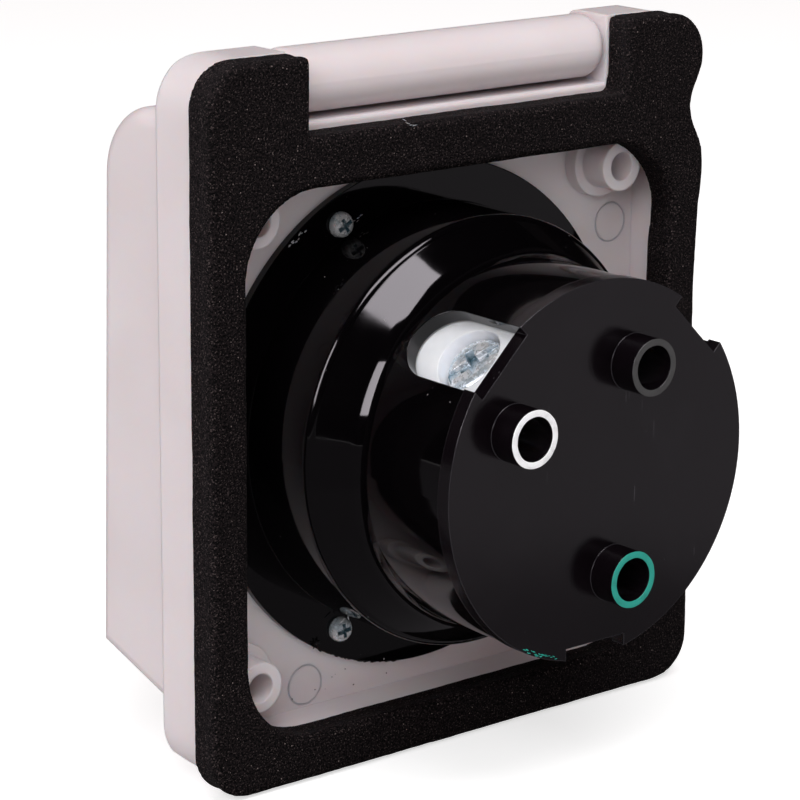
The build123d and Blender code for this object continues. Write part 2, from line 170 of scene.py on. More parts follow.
class Surface(Graph):
    """A node material with its shader and the patterns that it reads."""

    def __init__(self, name: str, edge_mm: float = 0.0) -> None:
        """Starts the material.

        Args:
            name: Its name.
            edge_mm: How far its edges look softened, in millimetres.
        """
        self.material = bpy.data.materials.new(name)
        self.material.use_nodes = True
        self.edge_mm = edge_mm
        super().__init__(self.material.node_tree)
        self.shader = self.tree.nodes["Principled BSDF"]

    @cached_property
    def place(self) -> Socket:
        """Gives the object coordinates.

        Returns:
            Their socket.
        """
        return self.add("ShaderNodeTexCoord").outputs["Object"]

    def stretched(self, rotation: Spot, scale: Spot) -> Node:
        """Turns and stretches the coordinates.

        Args:
            rotation: Their turn in radians.
            scale: Their scale along each axis.
        Returns:
            The node that gives them.
        """
        return self.add("ShaderNodeMapping", {"Vector": self.place, "Rotation": rotation, "Scale": scale})

    def cloud(self, size_mm: float, detail: float = 2.0, place: Node | None = None) -> Socket:
        """Adds soft random variation.

        Args:
            size_mm: About how far apart its patches lie, in millimetres.
            detail: How many finer layers it has.
            place: Stretched coordinates, if it reads those.
        Returns:
            A value around 0.5.
        """
        sockets = {"Vector": place or self.place, "Scale": 1000.0 / size_mm, "Detail": detail}
        return self.add("ShaderNodeTexNoise", sockets).outputs[0]

    def specks(self, spacing_mm: float, radius: float, share: float) -> Socket:
        """Marks a few small round spots.

        Args:
            spacing_mm: The size of the cells that may hold a spot, in millimetres.
            radius: The largest spot as a share of its cell.
            share: The share of cells that hold one.
        Returns:
            1 on a spot and 0 elsewhere.
        """
        cells = self.add("ShaderNodeTexVoronoi", {"Vector": self.place, "Scale": 1000.0 / spacing_mm})
        dice = self.add("ShaderNodeSeparateColor", {0: cells.outputs["Color"]})
        chosen = self.calc("LESS_THAN", dice.outputs[0], share)
        near = self.calc("LESS_THAN", cells.outputs["Distance"], self.calc("MULTIPLY", dice.outputs[1], radius))
        return self.calc("MULTIPLY", chosen, near)

    def edge_highlight(self) -> Socket:
        """Finds the edges, where a painted highlight makes a piece lighter.

        Returns:
            1 on an edge and 0 on a flat face.
        """
        soft = self.add("ShaderNodeBevel", {"Radius": 1.2 * self.edge_mm * MM}, samples=6)
        flat_way = self.add("ShaderNodeNewGeometry").outputs["Normal"]
        likeness = self.add("ShaderNodeVectorMath", {0: soft, 1: flat_way}, operation="DOT_PRODUCT").outputs["Value"]
        return self.span(likeness, 0.995, 0.9)

    def set(self, **values: object) -> None:
        """Sets the shader's own values.

        Args:
            values: Values or outputs by the input's name, with _ for a space.
        """
        self.fill(self.shader, {name.replace("_", " "): value for name, value in values.items()})

    def paint(self, share: object, first: object, second: object) -> None:
        """Colours the surface with two colours.

        Args:
            share: How much of the second colour shows, from 0 to 1.
            first, second: Colours or outputs.
        """
        self.set(Base_Color=self.blend(share, first, second))

    def soak(self, radius: Spot, scale_mm: float) -> None:
        """Lets light soak into the surface.

        Args:
            radius: How far red, green and blue go, as shares.
            scale_mm: How far a share of 1 is, in millimetres.
        """
        self.set(Subsurface_Weight=0.4, Subsurface_Radius=radius, Subsurface_Scale=scale_mm * MM)

    def relief(self, height: object, depth_mm: float) -> None:
        """Raises the surface by a pattern, over softened edges.

        Args:
            height: The pattern, from 0 to 1.
            depth_mm: The height of the relief in millimetres.
        """
        soft = self.add("ShaderNodeBevel", {"Radius": self.edge_mm * MM}, samples=6)
        sockets = {"Strength": 1.0, "Distance": depth_mm * MM, "Height": height, "Normal": soft}
        self.set(Normal=self.add("ShaderNodeBump", sockets))


def linked(name: str, data: bpy.types.ID) -> Thing:
    """Puts a mesh, a lamp or a camera into the scene.

    Args:
        name: The object's name.
        data: What it holds.
    Returns:
        The new object.
    """
    thing = bpy.data.objects.new(name, data)
    bpy.context.scene.collection.objects.link(thing)
    return thing


@dataclass(frozen=True)
class Finish:
    """A surface with its colour, its gloss and the detail that a subclass adds."""

    name: str
    colour: Colour
    roughness: float
    edge_mm: float = 0.25

    def material(self) -> bpy.types.Material:
        """Builds the node material once and gives it again after that.

        Returns:
            The material.
        """
        found = bpy.data.materials.get(self.name)
        if found:
            return found
        on = Surface(self.name, self.edge_mm)
        on.set(Base_Color=self.colour, Roughness=self.roughness)
        self.detail(on)
        return on.material

    def darker(self, share: float) -> Colour:
        """Gives a darker tone of the colour.

        Args:
            share: How much of it is left.
        Returns:
            The tone.
        """
        return tuple(share * v for v in self.colour[:3]) + (1.0,)

    def detail(self, on: Surface) -> None:
        """Adds what makes the surface more than one flat colour.

        Args:
            on: The material's nodes.
        """


@dataclass(frozen=True)
class MouldedWhite(Finish):
    """White moulded plastic with faint flow marks and a fine mould grain."""

    shade: Colour = tint(206, 193, 193)

    def detail(self, on: Surface) -> None:
        """Varies colour and gloss a little and adds the grain.

        Args:
            on: The material's nodes.
        """
        on.paint(on.span(on.cloud(26.0, 1.0), 0.35, 0.75, 0.0, 0.25), self.colour, self.shade)
        on.set(Roughness=on.span(on.cloud(6.0), 0.3, 0.7, self.roughness - 0.03, self.roughness + 0.03))
        on.soak((1.0, 0.5, 0.34), 2.4)
        flow, grain = on.cloud(12.0, 1.0), on.cloud(0.5)
        on.relief(on.calc("MULTIPLY_ADD", grain, 0.06, flow), 0.02)


@dataclass(frozen=True)
class GlossBlack(Finish):
    """Polished black plastic with dust, smudges and slightly wavy walls."""

    dust: Colour = tint(150, 148, 150)
    wave_mm: float = 0.02
    bend: float = 1.4

    def detail(self, on: Surface) -> None:
        """Adds dust specks, smudged gloss and waves.

        Args:
            on: The material's nodes.
        """
        on.set(IOR=self.bend)
        dust = on.calc("MAXIMUM", on.specks(1.1, 0.10, 0.09), on.specks(4.0, 0.05, 0.10))
        on.paint(dust, self.colour, self.dust)
        smudge = on.span(on.cloud(7.0, 4.0), 0.45, 0.8, self.roughness, self.roughness + 0.08)
        on.set(Roughness=on.calc("MAXIMUM", smudge, dust))
        on.relief(on.calc("ADD", on.cloud(11.0, 0.0), dust), self.wave_mm)


@dataclass(frozen=True)
class SatinBlack(Finish):
    """Dark satin plastic of the end plate with specks and hair scratches."""

    # This lighter colour is used for the rubbed patches, specks and scratches, and also as a painted highlight on the
    # edges.
    rub: Colour = tint(52, 50, 54)

    def detail(self, on: Surface) -> None:
        """Adds specks, scratches, rubbed patches and a painted highlight along the edges.

        Args:
            on: The material's nodes.
        """
        lines = on.span(on.cloud(0.5, 0.0, on.stretched((0.0, 0.7, 0.0), (1.0, 1.0, 0.03))), 0.78, 0.82)
        scratches = on.calc("MULTIPLY", lines, on.span(on.cloud(6.0), 0.55, 0.7))
        marks = on.calc("MAXIMUM", on.specks(1.7, 0.07, 0.1), scratches)
        rubbed = on.span(on.cloud(14.0, 3.0), 0.5, 0.9, 0.0, 0.12)
        # Painted highlight: the edges take the lighter rub colour as if they caught the light. The cloud patches,
        # specks and scratches take the same colour.
        on.paint(on.calc("MAXIMUM", on.edge_highlight(), on.calc("MAXIMUM", rubbed, marks)), self.colour, self.rub)
        on.relief(on.cloud(0.18), 0.012)


@dataclass(frozen=True)
class OpenFoam(Finish):
    """Black cell foam with fine pores and bright flecks."""

    fleck: Colour = tint(126, 114, 112)
    skin: Colour = tint(82, 72, 71)
    pore: Colour = tint(2, 1, 1)
    cells_per_metre: float = 2600.0

    def detail(self, on: Surface) -> None:
        """Adds pores, flecks and a crumbly relief.

        Args:
            on: The material's nodes.
        """
        cells = on.add("ShaderNodeTexVoronoi", {"Vector": on.place, "Scale": self.cells_per_metre})
        crumbs = on.cloud(0.38)
        tone = on.blend(on.span(crumbs, 0.42, 0.62), self.pore, self.colour)
        grains = on.span(on.cloud(0.3, 1.0), 0.6, 0.7)
        tone = on.blend(on.calc("MULTIPLY", grains, 0.6), tone, self.skin)
        on.paint(on.specks(0.7, 0.16, 0.2), tone, self.fleck)
        on.set(Specular_IOR_Level=0.15)
        on.relief(on.calc("MULTIPLY_ADD", cells.outputs["Distance"], 0.5, on.calc("MULTIPLY", crumbs, 0.9)), 0.22)


@dataclass(frozen=True)
class MilkyNylon(Finish):
    """Milky nylon that light soaks into."""

    def detail(self, on: Surface) -> None:
        """Adds the soaked light and a faint cloudiness.

        Args:
            on: The material's nodes.
        """
        on.paint(on.span(on.cloud(5.0), 0.3, 0.7), self.colour, self.darker(0.9))
        on.soak((1.0, 0.9, 0.8), 2.5)
        on.relief(on.cloud(0.8), 0.01)


@dataclass(frozen=True)
class PlatedMetal(Finish):
    """Bare or plated metal with a patchy tone and drawn scratches."""

    second: Colour = tint(196, 200, 198)
    patch_mm: float = 2.5
    bare: float = 1.0
    hollow_shade: Colour = tint(40, 42, 46)

    def detail(self, on: Surface) -> None:
        """Adds tone patches, painted shade in the recesses, uneven gloss and fine scratches.

        Args:
            on: The material's nodes.
        """
        on.set(Metallic=self.bare)
        tone = on.blend(on.span(on.cloud(self.patch_mm, 3.0), 0.4, 0.62), self.colour, self.second)
        # Painted shade: slots and recesses that the AO node finds enclosed take the dark shade colour.
        open_sky = on.add("ShaderNodeAmbientOcclusion", {"Distance": 1.4 * MM}, samples=8, only_local=True)
        on.paint(on.span(open_sky.outputs["AO"], 0.75, 0.3), tone, self.hollow_shade)
        on.set(Roughness=on.span(on.cloud(0.9, 3.0), 0.3, 0.7, self.roughness - 0.07, self.roughness + 0.12))
        on.relief(on.cloud(0.16, 1.0, on.stretched((0.4, 0.3, 0.5), (1.0, 0.08, 1.0))), 0.003)


@dataclass(frozen=True)
class SoftRubber(Finish):
    """Dull rubber with a dusty bloom."""

    bloom: Colour = tint(70, 68, 68)

    def detail(self, on: Surface) -> None:
        """Adds the bloom and a fine skin.

        Args:
            on: The material's nodes.
        """
        on.paint(on.span(on.cloud(2.0, 4.0), 0.5, 0.9, 0.0, 0.4), self.colour, self.bloom)
        on.relief(on.cloud(0.25, 3.0), 0.02)


@dataclass(frozen=True)
class BrushedPaint(Finish):
    """A thick coat of marking paint put on by hand."""

    def detail(self, on: Surface) -> None:
        """Varies the coat's tone and thickness.

        Args:
            on: The material's nodes.
        """
        on.paint(on.span(on.cloud(1.4, 3.0), 0.45, 0.75), self.colour, self.darker(0.8))
        on.relief(on.cloud(0.7), 0.05)


class Coat(Enum):
    """Every finish of the inlet."""

    WHITE = MouldedWhite("white_moulded_plastic", tint(228, 219, 222), 0.33, 0.5)
    BLACK = GlossBlack("black_polished_plastic", tint(4, 3, 4), 0.05, 0.3)
    PLATE = SatinBlack("end_plate_satin_plastic", tint(10, 6, 9), 0.16, 0.2)
    FOAM = OpenFoam("black_cell_foam", tint(23, 17, 18), 0.95, 0.3)
    NYLON = MilkyNylon("milky_nylon", tint(234, 236, 240), 0.32, 0.4)
    # The last colour of ZINC and GREEN_ZINC is painted shade for their slots and recesses, bluish on zinc.
    ZINC = PlatedMetal("zinc_plated_steel", tint(238, 240, 242), 0.25, 0.12,
                       tint(200, 212, 220), 2.2, 0.62, tint(84, 120, 134))
    GREEN_ZINC = PlatedMetal("green_passivated_steel", tint(92, 140, 104), 0.3, 0.12,
                             tint(140, 168, 138), 1.3, 0.85, tint(24, 52, 40))
    BRASS = PlatedMetal("drawn_brass", tint(206, 170, 104), 0.25, 0.15, tint(190, 148, 84), 4.0)
    STEEL = PlatedMetal("pin_steel", tint(170, 170, 168), 0.3, 0.1, tint(140, 138, 134), 5.0)
    SEAL = SoftRubber("seal_rubber", tint(26, 25, 26), 0.6, 0.2)
    RING_WHITE = BrushedPaint("marking_paint_white", tint(250, 251, 253), 0.35, 0.1)
    RING_GREEN = BrushedPaint("marking_paint_green", tint(34, 158, 142), 0.35, 0.1)
    RING_GREY = BrushedPaint("marking_paint_grey", tint(66, 66, 66), 0.4, 0.1)


def dress(node: str, coat: Coat) -> None:
    """Gives a CAD node its finish.

    Args:
        node: The node's name.
        coat: The finish.
    """
    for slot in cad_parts[node].material_slots:
        slot.material = coat.value.material()
    log.info("%s wears %s", node, coat.value.name)


def new_piece(name: str, mesh: bpy.types.Mesh, coat: Coat) -> Thing:
    """Puts a mesh into the scene as a piece with one finish.

    Args:
        name: The piece's name.
        mesh: Its mesh, placed in the inlet's frame.
        coat: Its finish.
    Returns:
        The new object.
    """
    mesh.materials.clear()
    mesh.materials.append(coat.value.material())
    return linked(name, mesh)


def settle(piece: Thing, body: str, slot: str, *nodes: str) -> None:
    """Ties a finished piece to its body and hides the CAD nodes that it stands for.

    Args:
        piece: The finished piece.
        body: The CAD body that carries it.
        slot: The name of a material slot; it is not used.
        nodes: The CAD nodes that it stands for.
    """
    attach(piece, body)
    if nodes:
        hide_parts(*nodes)
    log.info("%s: %d faces on %s", piece.name, len(piece.data.polygons), body)


def baked(piece: Thing, angle: float = 35.0) -> Thing:
    """Turns the result of a piece's modifiers into its plain mesh.

    Args:
        piece: The piece with its modifiers.
        angle: Edges sharper than this, in degrees, stay sharp.
    Returns:
        The same piece.
    """
    graph = bpy.context.evaluated_depsgraph_get()
    mesh = bpy.data.meshes.new_from_object(piece.evaluated_get(graph))
    piece.modifiers.clear()
    piece.data = mesh
    shell = bmesh.new()
    shell.from_mesh(mesh)
    bmesh.ops.recalc_face_normals(shell, faces=shell.faces[:])
    shell.to_mesh(mesh)
    shell.free()
    mesh.shade_smooth()
    mesh.set_sharp_from_angle(angle=math.radians(angle))
    return piece


@dataclass(frozen=True)
class Recipe:
    """A geometry tree with named sizes, which stands one shape on every point."""

    name: str
    sizes: tuple[str, ...]

    def open(self) -> tuple[Graph, Node]:
        """Starts the tree and its sockets.

        Returns:
            The tree's nodes and its input node.
        """
        tree = bpy.data.node_groups.new(self.name, "GeometryNodeTree")
        sockets = [("Geometry", "Geometry"), *((size, "Float") for size in self.sizes), ("Finish", "Material")]
        for name, kind in sockets:
            tree.interface.new_socket(name, in_out="INPUT", socket_type="NodeSocket" + kind)
        tree.interface.new_socket("Geometry", in_out="OUTPUT", socket_type="NodeSocketGeometry")
        graph = Graph(tree)
        return graph, graph.add("NodeGroupInput")

    def close(self, graph: Graph, entry: Node, shape: object, **placing: object) -> Tree:
        """Stands the shape on the points and ends the tree with real geometry and its material.

        Args:
            graph: The tree's nodes.
            entry: The tree's input node.
            shape: The geometry that stands on each point.
            placing: Its rotation and scale, where they differ.
        Returns:
            The finished tree.
        """
        points = graph.add("GeometryNodeMeshToPoints", {"Mesh": entry.outputs["Geometry"]})
        copies = graph.add("GeometryNodeInstanceOnPoints", {"Points": points, "Instance": shape, **placing})
        real = graph.add("GeometryNodeRealizeInstances", {"Geometry": copies})
        coated = graph.add("GeometryNodeSetMaterial", {"Geometry": real, "Material": entry.outputs["Finish"]})
        graph.add("NodeGroupOutput", {"Geometry": coated})
        return graph.tree


@dataclass(frozen=True)
class Seat:
    """Where one copy stands, in millimetres: its place, the way it looks, its turn and its size."""

    place: Spot | Vector
    aim: Spot | Vector = REARWARD
    turn: float = 0.0
    size: Spot = (1.0, 1.0, 1.0)


def grow(name: str, tree: Tree, coat: Coat, seats: list[Seat], sizes_mm: dict[str, float],
         shares: dict[str, float] | None = None) -> Thing:
    """Stands a tree's shape on every seat and keeps the result as a plain mesh.

    Args:
        name: The piece's name.
        tree: The finished tree.
        coat: The piece's finish.
        seats: Where the copies stand.
        sizes_mm: The tree's sizes in millimetres, by name.
        shares: Its plain numbers, by name.
    Returns:
        The piece.
    """
    mesh = bpy.data.meshes.new(name)
    mesh.from_pydata([Vector(seat.place) * MM for seat in seats], [], [])
    aim = mesh.attributes.new("aim", "FLOAT_VECTOR", "POINT")
    aim.data.foreach_set("vector", [v for seat in seats for v in seat.aim])
    turn = mesh.attributes.new("turn", "FLOAT", "POINT")
    turn.data.foreach_set("value", [seat.turn for seat in seats])
    size = mesh.attributes.new("size", "FLOAT_VECTOR", "POINT")
    size.data.foreach_set("vector", [v for seat in seats for v in Vector(seat.size) * MM])
    piece = new_piece(name, mesh, coat)
    modifier = piece.modifiers.new(tree.name, "NODES")
    modifier.node_group = tree
    values = {key: value * MM for key, value in sizes_mm.items()} | (shares or {}) | {"Finish": coat.value.material()}
    for item in tree.interface.items_tree:
        if item.in_out == "INPUT" and item.name in values:
            modifier[item.identifier] = values[item.name]
    return baked(piece)


def faced(graph: Graph) -> Node:
    """Turns what stands on the points as their seats say.

    Args:
        graph: The nodes of a tree.
    Returns:
        The node that gives the rotation.
    """
    aim = graph.add("GeometryNodeInputNamedAttribute", {"Name": "aim"}, data_type="FLOAT_VECTOR")
    turn = graph.add("GeometryNodeInputNamedAttribute", {"Name": "turn"}, data_type="FLOAT")
    spin = graph.add("FunctionNodeAxisAngleToRotation", {"Axis": (0.0, 0.0, 1.0), "Angle": turn.outputs["Attribute"]})
    align = graph.add("FunctionNodeAlignRotationToVector", {"Vector": aim.outputs["Attribute"]}, axis="Z")
    return graph.add("FunctionNodeRotateRotation", {"Rotation": align, "Rotate By": spin}, rotation_space="LOCAL")


def roughened(graph: Graph, shape: object, scale: float, detail: float, reach: object) -> Node:
    """Shifts the points of a shape at random.

    Args:
        graph: The tree's nodes.
        shape: The geometry.
        scale: How fine the pattern is.
        detail: How many finer layers it has.
        reach: How far a point may move.
    Returns:
        The node that gives the rough shape.
    """
    shake = graph.add("ShaderNodeTexNoise", {"Scale": scale, "Detail": detail})
    centred = graph.add("ShaderNodeVectorMath", {0: shake.outputs["Color"], 1: (0.5, 0.5, 0.5)}, operation="SUBTRACT")
    moved = graph.add("ShaderNodeVectorMath", {0: centred, "Scale": reach}, operation="SCALE")
    return graph.add("GeometryNodeSetPosition", {"Geometry": shape, "Offset": moved})


def flat_ring(graph: Graph, entry: Node, count: int, thick: str, round_off: float = 0.0) -> Node:
    """Sweeps a flat band round the axis of a tube or a mark.

    Args:
        graph: The tree's nodes.
        entry: The tree's input node, with a Radius and a Width.
        count: How many sides the ring has.
        thick: The name of the input that gives the band's thickness.
        round_off: The share of the thickness that rounds its corners.
    Returns:
        The node that gives the ring, which lies in X and Y.
    """
    ring = graph.add("GeometryNodeCurvePrimitiveCircle", {"Resolution": count, "Radius": entry.outputs["Radius"]})
    section = graph.add("GeometryNodeCurvePrimitiveQuadrilateral", {0: entry.outputs["Width"], 1: entry.outputs[thick]})
    if round_off:
        reach = graph.calc("MULTIPLY", entry.outputs[thick], round_off)
        section = graph.add("GeometryNodeFilletCurve", {"Curve": section, "Radius": reach, "Count": 3}, mode="POLY")
    return graph.add("GeometryNodeCurveToMesh", {"Curve": ring, "Profile Curve": section})


@dataclass
class ScrewSet:
    """Pan head screws with a driver recess, made by one tree for every size."""

    recipe: Recipe = Recipe("pan_head_screw", ("Head radius", "Head height", "Slot length", "Slot width", "Slot depth",
                                               "Cross length", "Cross depth", "Shank radius", "Shank length", "Flatness"))
    sides: int = 48
    rings: int = 16
    tree: Tree | None = None

    def head(self, graph: Graph, entry: Node) -> Node:
        """Turns a grid into a closed crowned head.

        Args:
            graph: The tree's nodes.
            entry: The tree's input node.
        Returns:
            The node that gives the head.
        """
        grid = graph.add("GeometryNodeMeshGrid", {"Size X": 1.0, "Size Y": 1.0, "Vertices X": self.sides + 1,
                                                  "Vertices Y": self.rings + 1})
        at = graph.add("ShaderNodeSeparateXYZ", {0: graph.add("GeometryNodeInputPosition")})
        round_angle = graph.calc("MULTIPLY", graph.calc("ADD", at.outputs[0], 0.5), 2 * math.pi)
        along = graph.calc("ADD", at.outputs[1], 0.5)
        base = graph.calc("MINIMUM", graph.calc("MULTIPLY", along, 4.0), 1.0)
        rise = graph.calc("MAXIMUM", graph.calc("MULTIPLY_ADD", along, 4 / 3, -1 / 3), 0.0)
        arc = graph.calc("MULTIPLY", rise, math.pi / 2)
        crown = graph.calc("POWER", graph.calc("MAXIMUM", graph.calc("COSINE", arc), 0.0), entry.outputs["Flatness"])
        reach = graph.calc("MULTIPLY", graph.calc("MULTIPLY", base, crown), entry.outputs["Head radius"])
        lift = graph.calc("MULTIPLY", graph.calc("POWER", graph.calc("SINE", arc), 0.8), entry.outputs["Head height"])
        spot = graph.add("ShaderNodeCombineXYZ", {
            0: graph.calc("MULTIPLY", reach, graph.calc("COSINE", round_angle)),
            1: graph.calc("MULTIPLY", reach, graph.calc("SINE", round_angle)), 2: lift})
        turned = graph.add("GeometryNodeSetPosition", {"Geometry": grid, "Position": spot})
        return graph.add("GeometryNodeMergeByDistance", {"Geometry": turned, "Distance": 0.004 * MM})

    def cutter(self, graph: Graph, entry: Node, length: str, depth: str, turn: float, slim: float) -> Node:
        """Makes one bar of the recess.

        Args:
            graph: The tree's nodes.
            entry: The tree's input node.
            length, depth: The names of the inputs that size it.
            turn: Its turn about the screw, in radians.
            slim: Its width as a share of the slot's, so that no two bars share a face.
        Returns:
            The node that gives the bar.
        """
        tall = graph.calc("MULTIPLY", entry.outputs[depth], 3.0 - slim)
        wide = graph.calc("MULTIPLY", entry.outputs["Slot width"], slim)
        size = graph.add("ShaderNodeCombineXYZ", {0: entry.outputs[length], 1: wide, 2: tall})
        bar = graph.add("GeometryNodeMeshCube", {"Size": size})
        top = graph.add("ShaderNodeCombineXYZ", {2: entry.outputs["Head height"]})
        return graph.add("GeometryNodeTransform", {"Geometry": bar, "Translation": top, "Rotation": (0.0, 0.0, turn)})

    def build(self) -> Tree:
        """Builds the tree once.

        Returns:
            The tree.
        """
        if self.tree is not None:
            return self.tree
        graph, entry = self.recipe.open()
        head = graph.add("GeometryNodeFlipFaces", {"Mesh": self.head(graph, entry)})
        cuts = graph.add("GeometryNodeMeshBoolean", {0: head}, operation="DIFFERENCE", solver="EXACT")
        bars = (("Slot length", "Slot depth", 0.0, 1.0), ("Cross length", "Cross depth", 0.0, 0.9),
                ("Cross length", "Cross depth", math.pi / 2, 0.84))
        for length, depth, turn, slim in bars:
            graph.tree.links.new(self.cutter(graph, entry, length, depth, turn, slim).outputs[0], cuts.inputs[1])
        deep = entry.outputs["Shank length"]
        shank = graph.add("GeometryNodeMeshCylinder", {"Vertices": 20, "Radius": entry.outputs["Shank radius"], "Depth": deep})
        down = graph.add("ShaderNodeCombineXYZ", {2: graph.calc("MULTIPLY", deep, -0.5)})
        placed = graph.add("GeometryNodeTransform", {"Geometry": shank.outputs["Mesh"], "Translation": down})
        screw = graph.add("GeometryNodeJoinGeometry")
        for part in (cuts, placed):
            graph.tree.links.new(part.outputs[0], screw.inputs[0])
        self.tree = self.recipe.close(graph, entry, screw, Rotation=faced(graph))
        return self.tree

    def make(self, name: str, coat: Coat, seat: Seat, sizes_mm: dict[str, float], flatness: float = 0.5) -> Thing:
        """Makes one screw.

        Args:
            name: The piece's name.
            coat: Its finish.
            seat: Where it stands.
            sizes_mm: The tree's sizes in millimetres.
            flatness: 0.5 for a round crown, and less for a flat one.
        Returns:
            The piece.
        """
        return grow(name, self.build(), coat, [seat], sizes_mm, {"Flatness": flatness})


@dataclass
class WallGasket:
    """Foam sheet behind the flange, die-cut, with its window, its hinge notch and a pinched side."""

    left: float = 53.7
    right: float = -52.8
    top: float = 66.5
    bottom: float = -55.1
    corner: float = 7.5
    thickness: float = 5.8
    notch_left: float = 33.6
    notch_right: float = -34.8
    notch_floor: float = 53.65
    window_left: float = 46.2
    window_right: float = -45.7
    window_top: float = 45.0
    window_bottom: float = -47.3
    window_corner: float = 14.0
    soft_edge: float = 1.1
    pinch_height: float = 50.0
    pinch_reach: float = 8.5
    pinch_depth: float = 2.7
    voxel: float = 0.55
    notch_lip: float = 1.2
    notch_corner: float = 0.6
    fill: float = 0.9

    @staticmethod
    def swell(z: float, height: float, middle: float, reach: float) -> float:
        """Gives a soft swelling along the pinched side.

        Args:
            z: Where it is read.
            height: How far it stands out.
            middle, reach: Where it lies and how far it spreads.
        Returns:
            How far the edge moves.
        """
        return height * math.exp(-(((z - middle) / reach) ** 2))

    def rounded(self, corners: list[Pair], radii: list[float], step: float = 1.5) -> list[Pair]:
        """Rounds the corners of an outline and walks it in short steps.

        Args:
            corners: The sharp corners in order, in millimetres.
            radii: The radius at each.
            step: About how far apart the points lie.
        Returns:
            The outline's points.
        """
        count = len(corners)
        points: list[Pair] = []
        for i, (corner, radius) in enumerate(zip(corners, radii)):
            here, before, after = Vector(corner), Vector(corners[i - 1]), Vector(corners[(i + 1) % count])
            inward, onward = (before - here).normalized(), (after - here).normalized()
            bend = inward.angle(onward)
            cut = radius / math.tan(bend / 2)
            centre = here + (inward + onward).normalized() * (radius / math.sin(bend / 2))
            start, end = here + inward * cut - centre, here + onward * cut - centre
            sweep = start.angle_signed(end)
            steps = max(3, round(abs(sweep) * radius / step * 1.5))
            for k in range(steps + 1):
                turn = -sweep * k / steps
                c, s = math.cos(turn), math.sin(turn)
                points.append((centre.x + start.x * c - start.y * s, centre.y + start.x * s + start.y * c))
            following = Vector(corners[(i + 1) % count])
            bend_next = (here - following).angle(Vector(corners[(i + 2) % count]) - following)
            leave = here + onward * cut
            arrive = following + (here - following).normalized() * (radii[(i + 1) % count] / math.tan(bend_next / 2))
            spans = max(1, round((arrive - leave).length / step))
            for k in range(1, spans):
                spot = leave.lerp(arrive, k / spans)
                points.append((spot.x, spot.y))
        return points

    def pinched(self, point: Pair, window: bool) -> Pair:
        """Moves a point of the outline as the foam of the pinched side lies.

        Args:
            point: The nominal point.
            window: True on the window's outline.
        Returns:
            The moved point.
        """
        x, z = point
        if x > -30:
            return point
        side = min(1.0, (-x - 30) / 12)
        if window:
            push = self.swell(z, -0.5, 34, 5) + self.swell(z, 1.0, 2, 22)
            return (x + push * side, z)
        away = (z - self.pinch_height) / self.pinch_reach
        pinch = self.pinch_depth * math.cos(away * math.pi / 2) ** 2 if abs(away) < 1 else 0.0
        swell = self.swell(z, -0.6, 38, 5) + self.swell(z, 0.6, 16, 14)
        return (x + (pinch + swell) * side, z)

    def outlines(self) -> list[list[Pair]]:
        """Gives the sheet's edge and its window's edge.

        Returns:
            The two outlines in millimetres, X and Z.
        """
        left, right, top, bottom, c = self.left, self.right, self.top, self.bottom, self.corner
        near, far, floor = self.notch_left, self.notch_right, self.notch_floor
        edge = [(left, bottom), (left, top), (near, top), (near, floor), (far, floor), (far, top), (right, top), (right, bottom)]
        hole = [(self.window_left, self.window_bottom), (self.window_left, self.window_top),
                (self.window_right, self.window_top), (self.window_right, self.window_bottom)]
        lip, inner_corner = self.notch_lip, self.notch_corner
        outer = self.rounded(edge, [c, c, lip, inner_corner, inner_corner, lip, c, c])
        inner = self.rounded(hole, [self.window_corner] * 4)
        return [[self.pinched(p, False) for p in outer], [self.pinched(p, True) for p in inner]]

    def sheet(self) -> bpy.types.Mesh:
        """Builds the sheet with soft edges and slightly hollow cut walls.

        Returns:
            The closed mesh in metres.
        """
        soft, thick = self.soft_edge, self.thickness
        levels = [(soft, 0.0), (soft * 0.45, -soft * 0.12), (soft * 0.12, -soft * 0.45), (0.0, -soft),
                  (0.22, -thick / 2), (0.0, -thick + 0.4), (0.25, -thick)]
        shell = bmesh.new()
        rims: tuple[list[bmesh.types.BMEdge], list[bmesh.types.BMEdge]] = ([], [])
        for number, line in enumerate(self.outlines()):
            count = len(line)
            rings = []
            for inset, depth in levels:
                ring = []
                for i, (x, z) in enumerate(line):
                    along = Vector(line[(i + 1) % count]) - Vector(line[i - 1])
                    inward = Vector((-along.y, along.x)).normalized() * (inset if number == 0 else -inset)
                    ring.append(shell.verts.new(((x + inward.x) * MM, depth * MM, (z + inward.y) * MM)))
                rings.append(ring)
            for low, high in zip(rings, rings[1:]):
                for i in range(count):
                    k = (i + 1) % count
                    shell.faces.new((low[i], low[k], high[k], high[i]))
            for rim, ring in zip(rims, (rings[0], rings[-1])):
                rim.extend(shell.edges.get((ring[i], ring[(i + 1) % count])) for i in range(count))
        for rim in rims:
            bmesh.ops.triangle_fill(shell, edges=rim, use_beauty=True, use_dissolve=False)
        bmesh.ops.recalc_face_normals(shell, faces=shell.faces[:])
        mesh = bpy.data.meshes.new("foam_gasket")
        shell.to_mesh(mesh)
        shell.free()
        return mesh

    def build(self) -> None:
        """Makes the foam piece that stands for the CAD gasket."""
        piece = new_piece("foam_gasket", self.sheet(), Coat.FOAM)
        remesh = piece.modifiers.new("even cells", "REMESH")
        remesh.mode, remesh.voxel_size = "VOXEL", self.voxel * MM
        baked(piece, 180.0)
        for vertex in piece.data.vertices:
            spot = vertex.co * 1000.0
            sag = 0.10 * noise.noise(spot / 9.0) + 0.05 * noise.noise(spot / 1.6)
            vertex.co += vertex.normal * sag * MM
        piece.data.materials.clear()
        piece.data.materials.append(Coat.FOAM.value.material())
        settle(piece, "inlet", "foam", "wall_gasket")


